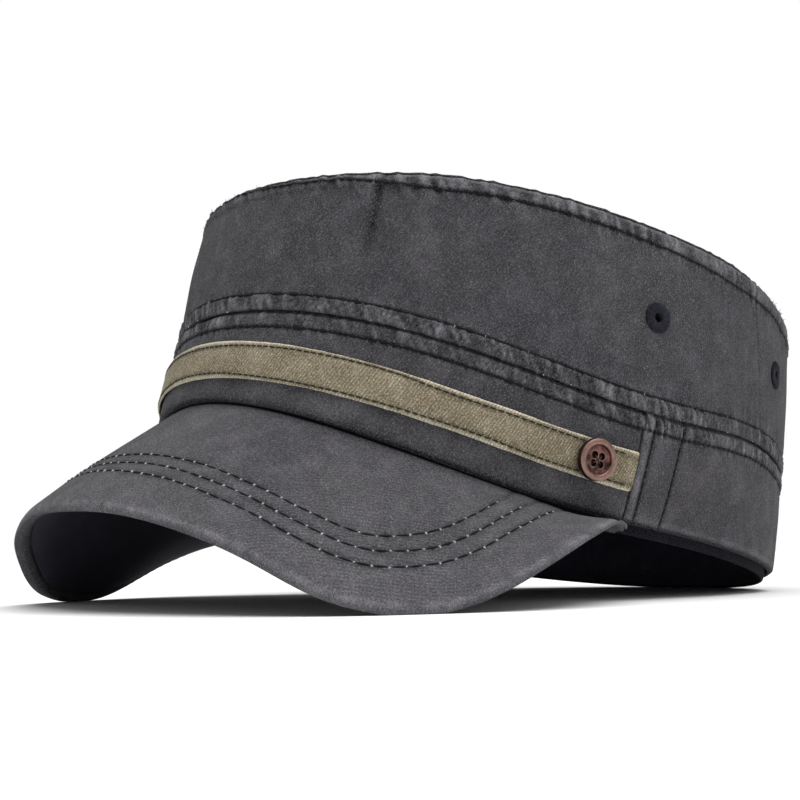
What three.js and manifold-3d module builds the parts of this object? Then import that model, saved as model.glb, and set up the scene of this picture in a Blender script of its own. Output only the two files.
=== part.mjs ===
// A washed cotton flat-topped cap with a curved peak, in millimetres.
// +Z is up, the front is towards -Y and the wearer's left is towards +X.
// Every solid is made upright, with the back of the band level, in the frame of the group "cap".
// The group is then leaned until the cap stands by itself on the peak's two low corners and the back.
import * as THREE from 'three';
import { mergeVertices } from 'three/addons/utils/BufferGeometryUtils.js';
import Module from 'manifold-3d';

const wasm = await Module();
wasm.setup();

// Driving sizes of the head opening and the walls
const headReach = 94;
const bandHeight = 30;
const sideHeight = 52;
const frontArch = 14;
const clothWall = 2;
const bandBelly = 0.6;
const sideBelly = 1.2;
const topDome = 3;
const topWall = 1.6;
const gap = 0.3;

// Seams: how far each stitch line lies from its seam, and how much the seam allowance lifts the cloth
const upperStitch = 5.2;
const lowerStitch = 4.4;
const edgeStitch = 4;
const welt = 0.5;
const stitchDip = 0.15;
const seamRound = 0.8;
const rimRound = 1;
// A rounded edge leaves at least this share of the wall's thickness flat
const leastFlat = 0.3;
// Where the upper wall has points between its stitch lines, as shares of the way up
const wallStops = [0.3, 0.65];

// The back band laps the front band on each side
const foldAngle = 77.6;
const lapLength = 13;
const lapProud = 1;
// Where the lap has sections, as shares of its length, and the share in which its fold is rounded
const lapStops = [0, 0.08, 0.35, 0.7, 1];
const foldRound = 0.04;

// Strap and button
const strapWidth = 11;
const strapThick = 0.9;
const strapCentre = 0.45;
const buttonAngle = 67.8;
const buttonDiameter = 11.5;
const buttonThick = 2.6;
const buttonRim = 1.9;
const buttonDish = 0.9;
const buttonHole = 1.7;
const buttonHoleSpread = 1.6;

// Peak
const peakLength = 57;
const peakThick = 3.6;
const peakBulge = 0.8;
const peakInset = 1.6;
const hemWidth = 1.5;
const liningThick = 0.8;
const liningReach = 0.88;
// Where the peak's body has points, as shares of the way from the band to the hem
const peakRowStops = [0, 0.1, 0.4, 0.7, 1];
// The hem takes at most this share of the peak's length, and steps down in the first part of it
const hemMost = 0.3;
const hemStep = 0.15;
// The peak's bulge is squared to its slope after this share of its length
const bulgeStart = 0.05;

// Sweatband
const sweatThick = 1.2;
const sweatHeight = 28;
const sweatShow = 2.5;
const sweatHem = 1.9;
const sweatHemHeight = 5;
const sweatHemRound = 0.3;

// The top panel's rings of points, as shares of the way in from its edge
const topStops = [0.03, 0.3, 0.62];
const topUnderStop = 0.45;

// Air holes
const eyeletDiameter = 9;
const eyeletFlange = 0.8;
const eyeletHole = 2.6;
const eyeletBarrel = 4.4;
const eyeletRound = 0.25;

// Where the cap rests, the cloth is pressed flat by this much
const restFlat = 0.4;

// Steps round the head, along the peak and round small pieces
const headSteps = 90;
const frontSteps = 42;
const backSteps = 48;
const peakSteps = 48;
const roundSteps = 16;
const buttonSteps = 36;

// Sections round the head, from the front (0) to the back (180), the same on both sides.
// rim, seam and edge are shares of headReach from the centre line, lift is a share of frontArch,
// band is a share of bandHeight and side a share of sideHeight.
const stations = [
  { at: 0, rim: 1.186, lift: 1, band: 0.85, seam: 1.17, side: 0.74, edge: 1.165 },
  { at: 30, rim: 1.112, lift: 0.52, band: 0.98, seam: 1.104, side: 0.843, edge: 1.096 },
  { at: 60, rim: 0.953, lift: -0.04, band: 1.017, seam: 0.98, side: 0.994, edge: 0.971 },
  { at: 90, rim: 0.856, lift: 0.04, band: 1, seam: 0.911, side: 0.996, edge: 0.9 },
  { at: 120, rim: 0.901, lift: 0.24, band: 1.078, seam: 0.92, side: 0.906, edge: 0.902 },
  { at: 150, rim: 1.035, lift: 0.415, band: 0.99, seam: 1.018, side: 0.867, edge: 0.986 },
  { at: 180, rim: 1.104, lift: 0.525, band: 0.962, seam: 1.084, side: 0.834, edge: 1.045 },
];

// Sections of the peak from its middle (0) to its end at the fold (1).
// length is a share of peakLength, slope is the fall of the section in degrees.
const peakSections = [
  { at: 0, length: 0.9, slope: 50 },
  { at: 0.15, length: 0.883, slope: 50.4 },
  { at: 0.3, length: 0.948, slope: 50.1 },
  { at: 0.45, length: 1.02, slope: 53.6 },
  { at: 0.6, length: 0.85, slope: 51.5 },
  { at: 0.75, length: 0.545, slope: 32.5 },
  { at: 0.9, length: 0.226, slope: 12.8 },
  { at: 1, length: 0.05, slope: 0 },
];

// Soft dents in the upper wall: angle round the head, share of the wall's height where it is deepest,
// half width in degrees, half height as a share, and depth as a share of clothWall.
const dents = [
  { at: 26, rise: 0.75, wide: 5, tall: 0.4, deep: 0.5 },
  { at: 109, rise: 0.5, wide: 4, tall: 0.6, deep: 0.45 },
  { at: -34, rise: 0.6, wide: 6, tall: 0.4, deep: 0.45 },
];

// Air holes: angle round the head and share of the upper wall's height
const airHoles = [
  { name: 'eyelet_side_left', at: 77, rise: 0.52 },
  { name: 'eyelet_rear_left', at: 121, rise: 0.53 },
  { name: 'eyelet_side_right', at: -77, rise: 0.52 },
  { name: 'eyelet_rear_right', at: -121, rise: 0.53 },
];

const radians = THREE.MathUtils.degToRad;
const degrees = THREE.MathUtils.radToDeg;
const lerp = THREE.MathUtils.lerp;

// A smooth even curve round the head through one column of the stations
function around(column) {
  const last = stations.length - 1;
  const half = (index) => (index === 0 || index === last ? 0.5 : 1);
  const waves = stations.map((unused, k) => {
    const sum = stations.reduce((total, row, j) => {
      return total + half(j) * row[column] * Math.cos((k * j * Math.PI) / last);
    }, 0);
    return (2 / last) * half(k) * sum;
  });
  return (angle) => waves.reduce((total, wave, k) => total + wave * Math.cos(k * radians(angle)), 0);
}

// A smooth curve along the peak through one column of its sections
function alongPeak(column) {
  const rows = peakSections;
  const slopeAt = (i) => {
    if (i === 0) return 0;
    const next = Math.min(i + 1, rows.length - 1);
    return (rows[next][column] - rows[i - 1][column]) / (rows[next].at - rows[i - 1].at);
  };
  return (share) => {
    const at = Math.min(Math.abs(share), 1);
    const i = Math.min(rows.findLastIndex((row) => row.at <= at), rows.length - 2);
    const span = rows[i + 1].at - rows[i].at;
    const t = (at - rows[i].at) / span;
    const rise = rows[i + 1][column] - rows[i][column];
    const bend = (1 - t) * (slopeAt(i) * span - rise) - t * (slopeAt(i + 1) * span - rise);
    return rows[i][column] + t * rise + t * (1 - t) * bend;
  };
}

const share = Object.fromEntries(
  ['rim', 'lift', 'band', 'seam', 'side', 'edge'].map((column) => [column, around(column)]),
);
const peakShare = { length: alongPeak('length'), slope: alongPeak('slope') };

// The three levels of the wall: how far out and how high each one runs at an angle
const levels = {
  rim: {
    reach: (angle) => headReach * share.rim(angle),
    height: (angle) => frontArch * share.lift(angle),
  },
  seam: {
    reach: (angle) => headReach * share.seam(angle),
    height: (angle) => levels.rim.height(angle) + bandHeight * share.band(angle),
  },
  edge: {
    reach: (angle) => headReach * share.edge(angle),
    height: (angle) => levels.seam.height(angle) + sideHeight * share.side(angle),
  },
};
const bandTall = (angle) => bandHeight * share.band(angle);
const sideTall = (angle) => sideHeight * share.side(angle);

// How deep the dents press the upper wall in at a place
function dentDepth(angle, rise) {
  return dents.reduce((total, dent) => {
    const across = (angle - dent.at) / dent.wide;
    const along = (rise - dent.rise) / dent.tall;
    return total + dent.deep * clothWall * Math.exp(-across * across - along * along);
  }, 0);
}

// The middle surface of a wall between two levels, rise being the share of the way up
function wallPoint(lower, upper, belly, angle, rise) {
  const swell = belly * 4 * rise * (1 - rise);
  const reach = lerp(lower.reach(angle), upper.reach(angle), rise) + swell;
  const height = lerp(lower.height(angle), upper.height(angle), rise);
  const turn = radians(angle);
  return new THREE.Vector3(reach * Math.sin(turn), -reach * Math.cos(turn), height);
}

// The level direction that points straight out of a wall
function wallOut(lower, upper, belly, angle, rise) {
  const step = 0.5;
  const ahead = wallPoint(lower, upper, belly, angle + step, rise);
  const behind = wallPoint(lower, upper, belly, angle - step, rise);
  const along = ahead.sub(behind).setZ(0).normalize();
  return new THREE.Vector3(along.y, -along.x, 0);
}

// A point of the band or of the upper wall: up in millimetres from the lower level, out from the cloth's face
function bandPoint(angle, up, out) {
  const rise = up / bandTall(angle);
  const face = wallPoint(levels.rim, levels.seam, bandBelly, angle, rise);
  return face.addScaledVector(wallOut(levels.rim, levels.seam, bandBelly, angle, rise), out);
}
function sidePoint(angle, up, out) {
  const rise = up / sideTall(angle);
  const face = wallPoint(levels.seam, levels.edge, sideBelly, angle, rise);
  const push = out - dentDepth(angle, rise);
  return face.addScaledVector(wallOut(levels.seam, levels.edge, sideBelly, angle, rise), push);
}

// A closed geometry with its faces pointing out
function tidy(geometry) {
  geometry.deleteAttribute('normal');
  geometry.deleteAttribute('uv');
  const merged = mergeVertices(geometry, 1e-5);
  const index = Array.from(merged.index.array);
  const kept = [];
  for (let i = 0; i < index.length; i += 3) {
    const [a, b, c] = index.slice(i, i + 3);
    if (a !== b && b !== c && c !== a) kept.push(a, b, c);
  }
  merged.setIndex(kept);
  if (signedVolume(merged) < 0) merged.setIndex(kept.reverse());
  return merged;
}

function signedVolume(geometry) {
  const corner = (i) => new THREE.Vector3().fromBufferAttribute(geometry.attributes.position, i);
  const index = geometry.index.array;
  let volume = 0;
  for (let i = 0; i < index.length; i += 3) {
    volume += corner(index[i]).dot(corner(index[i + 1]).cross(corner(index[i + 2]))) / 6;
  }
  return volume;
}

// Triangles that close the flat strip between two chains of points, always by the shorter crossing
function zip(points, first, second) {
  const triangles = [];
  let [i, j] = [0, 0];
  while (i < first.length - 1 || j < second.length - 1) {
    const acrossFirst = i < first.length - 1
      ? points[first[i + 1]].distanceTo(points[second[j]]) : Infinity;
    const acrossSecond = j < second.length - 1
      ? points[first[i]].distanceTo(points[second[j + 1]]) : Infinity;
    if (acrossFirst <= acrossSecond) {
      triangles.push([first[i], first[i + 1], second[j]]);
      i += 1;
    } else {
      triangles.push([first[i], second[j + 1], second[j]]);
      j += 1;
    }
  }
  return triangles;
}

// A solid through a row of closed sections. Each section runs out along one face and back along the other,
// and turn is how many of its points lie on the first face. It is left out where the row closes on itself.
function loft(sections, turn) {
  const count = sections[0].length;
  const points = sections.flat();
  const index = [];
  const rows = turn ? sections.length - 1 : sections.length;
  for (let i = 0; i < rows; i += 1) {
    const next = (i + 1) % sections.length;
    for (let j = 0; j < count; j += 1) {
      const above = (j + 1) % count;
      const [a, b] = [i * count + j, next * count + j];
      const [c, d] = [next * count + above, i * count + above];
      const shorter = points[a].distanceTo(points[c]) <= points[b].distanceTo(points[d]);
      index.push(...(shorter ? [a, b, c, a, c, d] : [a, b, d, b, c, d]));
    }
  }
  if (turn) {
    const first = Array.from({ length: turn }, (unused, j) => j);
    const second = Array.from({ length: count - turn }, (unused, j) => count - 1 - j);
    const last = (sections.length - 1) * count;
    const shift = (chain) => chain.map((j) => j + last);
    for (const triangle of zip(points, first, second)) index.push(...triangle);
    for (const triangle of zip(points, shift(first), shift(second))) index.push(...triangle.reverse());
  }
  const geometry = new THREE.BufferGeometry().setFromPoints(points);
  geometry.setIndex(index);
  return tidy(geometry);
}

function manifoldOf(geometry) {
  return new wasm.Manifold(new wasm.Mesh({
    numProp: 3,
    vertProperties: new Float32Array(geometry.attributes.position.array),
    triVerts: new Uint32Array(geometry.index.array),
  }));
}

function geometryOf(solid) {
  const mesh = solid.getMesh();
  const geometry = new THREE.BufferGeometry();
  geometry.setAttribute('position', new THREE.BufferAttribute(Float32Array.from(mesh.vertProperties), 3));
  geometry.setIndex(Array.from(mesh.triVerts));
  return geometry;
}

function cutAway(geometry, tools) {
  return geometryOf(tools.reduce((solid, tool) => solid.subtract(manifoldOf(tool)), manifoldOf(geometry)));
}

// Angles from one to another in even steps
function angles(from, to, steps) {
  return Array.from({ length: steps + 1 }, (unused, i) => lerp(from, to, i / steps));
}

// The degrees that a length along the rim takes at an angle
function arcAngle(angle, length) {
  return degrees(length / levels.rim.reach(angle));
}

// The upper wall's section: up from the seam and out from the face, up the outside and down the inside
function sideProfile(angle) {
  const tall = sideTall(angle);
  const inner = [tall, tall / 2, gap / 2].map((up) => ({ up, out: -clothWall }));
  return [
    { up: gap / 2, out: -seamRound },
    { up: seamRound, out: welt },
    { up: upperStitch - seamRound, out: welt },
    { up: upperStitch, out: -stitchDip },
    { up: upperStitch + seamRound, out: 0 },
    ...wallStops.map((part) => ({ up: lerp(upperStitch, tall - edgeStitch, part), out: 0 })),
    { up: tall - edgeStitch - seamRound, out: 0 },
    { up: tall - edgeStitch, out: -stitchDip },
    { up: tall - edgeStitch + seamRound, out: welt },
    { up: tall - seamRound, out: welt },
    { up: tall, out: -seamRound },
    ...inner,
  ];
}

// The band's section: the same, between an inner and an outer face that may be moved in or out
function bandProfile(angle, outer, inner) {
  const tall = bandTall(angle);
  return [
    { up: 0, out: Math.max(outer - rimRound, lerp(inner, outer, leastFlat)) },
    { up: rimRound, out: outer },
    { up: tall / 2, out: outer },
    { up: tall - lowerStitch - seamRound, out: outer },
    { up: tall - lowerStitch, out: outer - stitchDip },
    { up: tall - lowerStitch + seamRound, out: outer + welt },
    { up: tall - seamRound, out: outer + welt },
    { up: tall - gap / 2, out: Math.max(outer - seamRound, lerp(inner, outer, leastFlat)) },
    { up: tall - gap / 2, out: inner },
    { up: tall / 2, out: inner },
    { up: 0, out: inner },
  ];
}

const bandFacePoints = 8;

// Where the front band passes under the back band, the two share the wall's thickness
const lapAngle = arcAngle(foldAngle, lapLength);
const tuckOut = -(clothWall + gap) / 2;
const lapIn = tuckOut + gap;
const edgeAngle = arcAngle(foldAngle, gap);

function crownSide() {
  const turn = angles(0, 360, headSteps).slice(0, -1);
  const signed = turn.map((angle) => (angle > 180 ? angle - 360 : angle));
  const sections = signed.map((angle) => {
    return sideProfile(angle).map(({ up, out }) => sidePoint(angle, up, out));
  });
  const holes = airHoles.map((hole) => {
    const drill = new THREE.CylinderGeometry(
      eyeletBarrel / 2 + gap, eyeletBarrel / 2 + gap, 6 * clothWall, roundSteps,
    );
    drill.rotateX(Math.PI / 2);
    return tidy(drill.applyMatrix4(holeFrame(hole)));
  });
  return cutAway(loft(sections), holes);
}

// The frame of an air hole: its z axis straight out of the wall, its origin on the cloth's face
function holeFrame(hole) {
  const up = hole.rise * sideTall(hole.at);
  return faceFrame((angle, height) => sidePoint(angle, height, 0), hole.at, up);
}

function faceFrame(facePoint, angle, up) {
  const origin = facePoint(angle, up);
  const along = facePoint(angle + 1, up).sub(facePoint(angle - 1, up)).normalize();
  const rise = facePoint(angle, up + 1).sub(facePoint(angle, up - 1)).normalize();
  const out = along.clone().cross(rise).normalize();
  const upward = out.clone().cross(along);
  return new THREE.Matrix4().makeBasis(along, upward, out).setPosition(origin);
}

function bandFront() {
  const open = foldAngle - edgeAngle;
  const tucked = foldAngle + lapAngle;
  const stops = [-tucked, -foldAngle, ...angles(-open, open, frontSteps), foldAngle, tucked];
  const profiles = stops.map((angle) => {
    const under = Math.abs(angle) >= foldAngle;
    return bandProfile(angle, under ? tuckOut - welt : 0, -clothWall);
  });
  const sections = stops.map((angle, i) => profiles[i].map(({ up, out }) => bandPoint(angle, up, out)));
  return loft(sections, bandFacePoints);
}

function bandBack() {
  const start = foldAngle;
  const end = 360 - foldAngle;
  const lapEnd = lapAngle + edgeAngle;
  const near = lapStops.map((part) => start + part * lapEnd);
  const rest = angles(near.at(-1) + edgeAngle, 360 - near.at(-1) - edgeAngle, backSteps);
  const far = near.map((angle) => 360 - angle).reverse();
  const stops = [...near, ...rest, ...far];
  const profiles = stops.map((angle) => {
    const past = Math.min(angle - start, end - angle) / lapEnd;
    const proud = lapProud * Math.max(0, 1 - past) * (past < foldRound ? 0.5 : 1);
    return bandProfile(angle, proud, past > 1 + foldRound / 4 ? -clothWall : lapIn);
  });
  const sections = stops.map((angle, i) => {
    const signed = angle > 180 ? angle - 360 : angle;
    return profiles[i].map(({ up, out }) => bandPoint(signed, up, out));
  });
  return loft(sections, bandFacePoints);
}

function strap() {
  const stop = foldAngle - 2 * edgeAngle;
  const edge = strapThick / 2;
  const half = strapWidth / 2;
  const profile = [
    { up: -half + edge, out: gap },
    { up: -half, out: gap + edge },
    { up: -half + edge, out: gap + strapThick },
    { up: half - edge, out: gap + strapThick },
    { up: half, out: gap + edge },
    { up: half - edge, out: gap },
  ];
  const sections = angles(-stop, stop, frontSteps).map((angle) => {
    const centre = strapCentre * bandTall(angle);
    return profile.map(({ up, out }) => bandPoint(angle, centre + up, out));
  });
  return loft(sections, 4);
}

// The peak: a section runs from under the band (along 0) to the edge (along 1)
function peakSection(angle) {
  const at = angle / foldAngle;
  const length = peakLength * peakShare.length(at);
  const slope = radians(peakShare.slope(at));
  const foot = bandPoint(angle, 0, 0);
  const outward = wallOut(levels.rim, levels.seam, bandBelly, angle, 0);
  const tip = length - peakThick / 2;
  const start = { out: -peakInset, up: -gap - peakThick / 2 / Math.cos(slope) };
  const fall = Math.max(tip * Math.sin(slope), peakThick / 2);
  const end = { out: tip * Math.cos(slope), up: -gap - fall };
  const bulge = (peakBulge * length) / peakLength;
  return (along, lift) => {
    const swell = lift + bulge * 4 * along * (1 - along);
    const out = lerp(start.out, end.out, along) + Math.sin(slope) * swell * Math.min(1, along / bulgeStart);
    const upward = lerp(start.up, end.up, along) + (Math.cos(slope) * swell);
    const mitre = along === 0 ? lift * (1 / Math.cos(slope) - Math.cos(slope)) : 0;
    return foot.clone().addScaledVector(outward, out).setZ(foot.z + upward + mitre);
  };
}

function peakEdge(section, angle) {
  const at = angle / foldAngle;
  const slope = radians(peakShare.slope(at));
  const outward = wallOut(levels.rim, levels.seam, bandBelly, angle, 0);
  const fall = outward.clone().multiplyScalar(Math.cos(slope)).setZ(-Math.sin(slope));
  return section(1, 0).addScaledVector(fall, peakThick / 2);
}

// Where the rows of points of a section lie: across the body, at the hem and at the edge
function peakRows(angle) {
  const length = peakLength * peakShare.length(angle / foldAngle);
  const hem = 1 - Math.min(hemMost, (hemWidth + peakThick / 2) / length);
  return peakRowStops.map((part) => part * hem);
}

const peakEnd = foldAngle - 2 * edgeAngle;
const peakStops = angles(-peakEnd, peakEnd, peakSteps);

// Above the lining the peak is thinner, so that the lining lies level with the hem
function peak() {
  const half = peakThick / 2;
  const bed = -half + liningThick + gap;
  const sections = peakStops.map((angle) => {
    const section = peakSection(angle);
    const rows = peakRows(angle);
    const step = rows.at(-1) + (1 - rows.at(-1)) * hemStep;
    const lined = Math.abs(angle) < foldAngle * liningReach;
    const lower = rows.map((along) => section(along, lined ? bed : -half));
    const upper = [1, ...[...rows].reverse()].map((along) => section(along, half));
    return [...lower, section(step, -half), section(1, -half), peakEdge(section, angle), ...upper];
  });
  return loft(sections, peakRows(0).length + 3);
}

// The lining lies under the peak and stops at the hem
function peakLining() {
  const bottom = -peakThick / 2;
  const stops = peakStops.filter((angle) => Math.abs(angle) < foldAngle * liningReach).slice(1, -1);
  const sections = stops.map((angle) => {
    const section = peakSection(angle);
    const rows = peakRows(angle).slice(1);
    const lower = rows.map((along) => section(along, bottom));
    const upper = rows.map((along) => section(along, bottom + liningThick)).reverse();
    return [...lower, ...upper];
  });
  return loft(sections, peakRows(0).length - 1);
}

function sweatband() {
  const face = -clothWall - gap;
  const back = face - sweatThick;
  const hem = face - sweatHem;
  const profile = [
    { up: -sweatShow, out: face - sweatHem * sweatHemRound },
    { up: -sweatShow + sweatHem / 2, out: face },
    { up: sweatHeight, out: face },
    { up: sweatHeight, out: back },
    { up: sweatHemHeight, out: back },
    { up: -sweatShow + sweatHem / 2, out: hem },
    { up: -sweatShow, out: hem + sweatHem * sweatHemRound },
  ];
  const turn = angles(0, 360, headSteps).slice(0, -1);
  const sections = turn.map((angle) => {
    const scale = Math.min(1, (bandTall(angle) - 2 * seamRound) / sweatHeight);
    return profile.map(({ up, out }) => bandPoint(angle, up * (up > 0 ? scale : 1), out));
  });
  return loft(sections);
}

// The top panel: rings from the middle of the underside out to the edge and back over the top
function crownTop() {
  const middle = angles(0, 180, headSteps / 2);
  const mean = middle.reduce((total, angle) => total + levels.edge.height(angle), 0) / middle.length;
  const rings = [
    { inward: 1, up: gap },
    { inward: topUnderStop, up: gap },
    { inward: 0, up: gap },
    { inward: 0, up: gap + topWall - seamRound },
    ...topStops.map((inward) => ({ inward, up: gap + topWall })),
    { inward: 1, up: gap + topWall },
  ];
  const turn = angles(0, 360, headSteps).slice(0, -1);
  const sections = turn.map((angle) => rings.map(({ inward, up }) => {
    const rim = sidePoint(angle, sideTall(angle), -seamRound);
    const out = 1 - inward;
    const height = lerp(mean, rim.z, out * out) + topDome * (1 - out * out) + up;
    return new THREE.Vector3(rim.x * out, rim.y * out, height);
  }));
  return loft(sections);
}

// A round piece from a closed profile of radius and height, its axis along z
function turned(profile, steps) {
  const points = profile.map(([radius, height]) => new THREE.Vector2(radius, height));
  return tidy(new THREE.LatheGeometry(points, steps).rotateX(Math.PI / 2));
}

function eyelet() {
  const outer = eyeletDiameter / 2;
  const barrel = eyeletBarrel / 2;
  const hole = eyeletHole / 2;
  const seat = gap + eyeletRound;
  const top = seat + eyeletFlange;
  return turned([
    [hole, -clothWall],
    [barrel, -clothWall],
    [barrel, seat],
    [outer, seat],
    [outer, seat + eyeletFlange / 2],
    [(outer + hole) / 2, top],
    [hole, seat + eyeletFlange / 2],
    [hole, -clothWall],
  ], roundSteps);
}

function button() {
  const radius = buttonDiameter / 2;
  const dish = radius - buttonRim;
  const round = buttonThick / 4;
  const body = turned([
    [0, 0],
    [radius - round, 0],
    [radius, round],
    [radius, buttonThick - round],
    [radius - round, buttonThick],
    [dish + round, buttonThick],
    [dish, buttonThick - buttonDish],
    [0, buttonThick - buttonDish],
  ], buttonSteps);
  const holes = [45, 135, 225, 315].map((angle) => {
    const drill = new THREE.CylinderGeometry(buttonHole / 2, buttonHole / 2, 3 * buttonThick, roundSteps / 2);
    drill.rotateX(Math.PI / 2);
    const turn = radians(angle);
    drill.translate(buttonHoleSpread * Math.cos(turn), buttonHoleSpread * Math.sin(turn), 0);
    return tidy(drill);
  });
  return cutAway(body, holes);
}

// The lean at which the peak's low corners and the back of the sweatband reach the floor together
function restLean(front, back) {
  const lowest = (geometry, lean) => {
    const place = geometry.attributes.position;
    let low = Infinity;
    for (let i = 0; i < place.count; i += 1) {
      low = Math.min(low, place.getZ(i) * Math.cos(lean) - place.getY(i) * Math.sin(lean));
    }
    return low;
  };
  let [flat, steep] = [0, Math.PI / 4];
  for (let i = 0; i < 40; i += 1) {
    const lean = (flat + steep) / 2;
    if (lowest(front, lean) < lowest(back, lean)) flat = lean;
    else steep = lean;
  }
  return { lean: flat, floor: lowest(back, flat) };
}

const peakSolid = peak();
const sweatSolid = sweatband();
const rest = restLean(peakSolid, sweatSolid);

// A slab whose top is the floor, lifted by restFlat, in the frame of the upright cap
function floorSlab() {
  const wide = 8 * headReach;
  const slab = new THREE.BoxGeometry(wide, wide, headReach);
  slab.translate(0, 0, rest.floor + restFlat - headReach / 2);
  slab.rotateX(rest.lean);
  return tidy(slab);
}

const cloth = { color: 0x4a4a4d, roughness: 0.95, metalness: 0 };
const looks = {
  cloth,
  tape: { color: 0x7a7560, roughness: 0.9, metalness: 0 },
  copper: { color: 0x7d564c, roughness: 0.45, metalness: 0.4 },
  thread: { color: 0x23232b, roughness: 0.9, metalness: 0 },
  dark: { color: 0x121216, roughness: 0.95, metalness: 0 },
};

const cap = new THREE.Group();

function add(name, geometry, look, frame) {
  const mesh = new THREE.Mesh(geometry, new THREE.MeshStandardMaterial(looks[look]));
  mesh.name = name;
  if (frame) frame.decompose(mesh.position, mesh.quaternion, mesh.scale);
  cap.add(mesh);
  return mesh;
}

const slab = floorSlab();
add('crown_top', crownTop(), 'cloth');
add('crown_side', crownSide(), 'cloth');
add('band_front', bandFront(), 'cloth');
add('band_back', bandBack(), 'cloth');
add('strap', strap(), 'tape');
add('peak', cutAway(peakSolid, [slab]), 'cloth');
add('peak_lining', peakLining(), 'dark');
add('sweatband', cutAway(sweatSolid, [slab]), 'dark');

// The button lies on the strap's face, near its end on the left
const strapFace = (angle, up) => bandPoint(angle, up, gap + strapThick);
const buttonFrame = faceFrame(strapFace, buttonAngle, strapCentre * bandTall(buttonAngle));
add('button', button().translate(0, 0, gap), 'copper', buttonFrame);

for (const hole of airHoles) add(hole.name, eyelet(), 'thread', holeFrame(hole));

// Stand the cap on the floor, with the middle of its outline over the origin
cap.rotation.x = -rest.lean;
cap.updateMatrixWorld(true);
const box = new THREE.Box3().setFromObject(cap, true);
const centre = box.getCenter(new THREE.Vector3());
cap.position.set(-centre.x, -centre.y, -box.min.z);
cap.updateMatrixWorld(true);

export default cap;
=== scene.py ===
# %% [markdown]
# # A washed cotton patrol cap
# A flat-topped cap is sewn from flat pieces of cotton twill: an oval top, an upper wall, a band in two
# parts that lap at the sides, a peak with a stiff core, and a sweatband inside. After sewing, the cap is
# washed, so the seams shrink and pucker, and the dye wears off the high places.
# The frame gives the true place of every piece. Here each piece of cloth gets a soft skin over it.

# %% Load the frame and keep the size it starts with
import math
import random

import bmesh
import bpy
import numpy as np
from mathutils import Matrix, Vector, noise
from mathutils.bvhtree import BVHTree


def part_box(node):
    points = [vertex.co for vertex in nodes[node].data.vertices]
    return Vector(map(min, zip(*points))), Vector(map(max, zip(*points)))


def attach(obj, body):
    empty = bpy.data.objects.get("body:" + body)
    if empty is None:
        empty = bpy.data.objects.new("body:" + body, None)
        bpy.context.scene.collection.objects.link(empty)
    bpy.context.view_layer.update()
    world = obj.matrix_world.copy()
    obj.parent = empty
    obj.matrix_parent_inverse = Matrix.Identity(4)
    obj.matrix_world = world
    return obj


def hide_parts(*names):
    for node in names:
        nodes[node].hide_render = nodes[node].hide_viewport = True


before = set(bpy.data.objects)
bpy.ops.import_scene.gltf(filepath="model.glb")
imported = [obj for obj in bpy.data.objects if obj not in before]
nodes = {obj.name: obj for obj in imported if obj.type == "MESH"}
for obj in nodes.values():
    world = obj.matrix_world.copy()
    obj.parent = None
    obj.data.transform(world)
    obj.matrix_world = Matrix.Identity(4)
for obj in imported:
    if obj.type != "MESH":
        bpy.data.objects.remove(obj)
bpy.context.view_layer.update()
random.seed(7)
mm = 0.001
print("nodes:", sorted(nodes))

# %% [markdown]
# ## The upright cap
# The cap leans on its peak and the back of its band. Seams and stitches are simpler to lay out on an
# upright cap, so one matrix turns between the two. An angle runs round the head from the front, 0, over
# the wearer's left, 90, to the back, 180.

# %% The lean, and the way between the resting cap and the upright one
LEAN = math.radians(-13.305)
LIFT = Vector((0, 16.056 * mm, 18.088 * mm))
resting = Matrix.Translation(LIFT) @ Matrix.Rotation(LEAN, 4, "X")
upright = resting.inverted()
# The upright cap's way up, as it points while the cap rests
CAP_UP = np.array(resting.to_3x3() @ Vector((0, 0, 1)))


def turn_all(points, matrix):
    """Many points at once, as rows of an array."""
    turn = np.array(matrix)
    return points @ turn[:3, :3].T + turn[:3, 3]


def points_of(mesh):
    flat = np.empty(len(mesh.vertices) * 3)
    mesh.vertices.foreach_get("co", flat)
    return flat.reshape(-1, 3)


def normals_of(mesh):
    flat = np.empty(len(mesh.vertices) * 3)
    mesh.vertices.foreach_get("normal", flat)
    return flat.reshape(-1, 3)


def upright_normals(mesh):
    """Every normal, as it points in the upright cap."""
    return normals_of(mesh) @ np.array(upright)[:3, :3].T


def angle_of(points):
    return np.degrees(np.arctan2(points[:, 0], -points[:, 1]))


def height_of(points):
    return points[:, 2]


def reach_of(points):
    return np.linalg.norm(points[:, :2], axis=1)


# An edge is measured each 4 degrees, over the points within 3 degrees
LEVEL_STEP = 4.0
LEVEL_SPAN = 3.0


def level(names, pick, measure=height_of):
    """The height of an edge of a piece, or its reach, round the head, measured on the frame."""
    points = turn_all(np.vstack([points_of(nodes[name].data) for name in names]), upright)
    angle = angle_of(points)
    at = []
    found = []
    for middle in np.arange(-180, 180, LEVEL_STEP):
        close = np.abs((angle - middle + 180) % 360 - 180) < LEVEL_SPAN
        if close.any():
            at.append(middle)
            found.append(pick(measure(points[close])))
    padded = np.pad(found, 1, mode="edge")
    evened = 0.25 * padded[:-2] + 0.5 * padded[1:-1] + 0.25 * padded[2:]
    return lambda angles: np.interp(angles, at, evened, period=360)


seam_height = level(["crown_side"], np.min)
edge_height = level(["crown_side"], np.max)
rim_height = level(["band_front", "band_back"], np.min)
top_reach = level(["crown_top"], np.max, reach_of)
print("wall at the front:", round(float(edge_height(0) - seam_height(0)) * 1000, 1), "mm")

# %% [markdown]
# ## Skins
# The real cloth is soft, so its folds and edges are round. Each skin starts as a copy of the frame's own
# solid, so it keeps the true outline. Its triangles are joined to four-sided faces, and a Subdivision
# Surface rounds them. A cloth simulation would move the stiffened walls off that outline, so the folds
# are worked out by formulas instead.

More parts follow.
